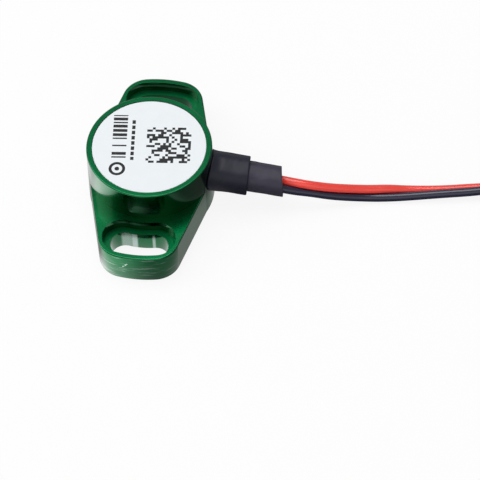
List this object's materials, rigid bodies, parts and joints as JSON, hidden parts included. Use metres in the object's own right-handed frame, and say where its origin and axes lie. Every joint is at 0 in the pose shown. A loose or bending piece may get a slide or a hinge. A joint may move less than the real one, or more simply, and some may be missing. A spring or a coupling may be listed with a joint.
{
  "type": "position sensor",
  "caption": "Miniature contactless angle sensor: a round anodised puck on a flange with curved adjusting slots, a sleeved cable exit and flying leads.",
  "frame": {"origin": "on the sensing axis, in the plane of the mounting face", "axes": "+Z along the sensing axis, up through the label; +Y along the flange, from ear to ear; +X towards the cable exit"},
  "size_m": [0.0512, 0.0283, 0.0066],
  "materials": {
    "anodised_aluminium": "satin green anodised, fine turning and milling marks",
    "cover_laminate": "matt black laminate",
    "label_film": "satin white printed film",
    "board_laminate": "green solder mask on glass laminate",
    "chip_resin": "moulded black resin",
    "tinned_metal": "dull bright tin",
    "capacitor_ceramic": "fired tan ceramic",
    "resistor_ceramic": "black glazed ceramic",
    "potting_resin": "cured black resin",
    "ferrule_metal": "turned and plated",
    "shrink_sleeve": "shrunk polyolefin, soft sheen",
    "sleeve_glue": "set amber hot-melt",
    "red_insulation": "soft extruded insulation",
    "black_insulation": "soft extruded insulation",
    "nylon": "natural moulded nylon"
  },
  "bodies": {
    "root": {"housing": "anodised_aluminium", "base_cover": "cover_laminate", "face_label": "label_film", "circuit_board": "board_laminate", "hall_chip": "chip_resin", "hall_chip_leads": "tinned_metal", "bypass_capacitors": "capacitor_ceramic", "sense_resistor": "resistor_ceramic", "protection_diode": "chip_resin", "component_terminals": "tinned_metal", "solder_joints": "tinned_metal", "potting_compound": "potting_resin", "cable_ferrule": "ferrule_metal", "large_heat_shrink": "shrink_sleeve", "small_heat_shrink": "shrink_sleeve", "sleeve_adhesive": "sleeve_glue", "red_wire_core": "tinned_metal", "black_wire_core": "tinned_metal", "red_wire_inner": "red_insulation", "black_wire_inner": "black_insulation", "red_wire": "red_insulation", "black_wire": "black_insulation", "red_wire_coil": "red_insulation", "black_wire_coil": "black_insulation", "red_wire_tip": "tinned_metal", "black_wire_tip": "tinned_metal", "coil_tie": "nylon"}
  },
  "joints": []
}
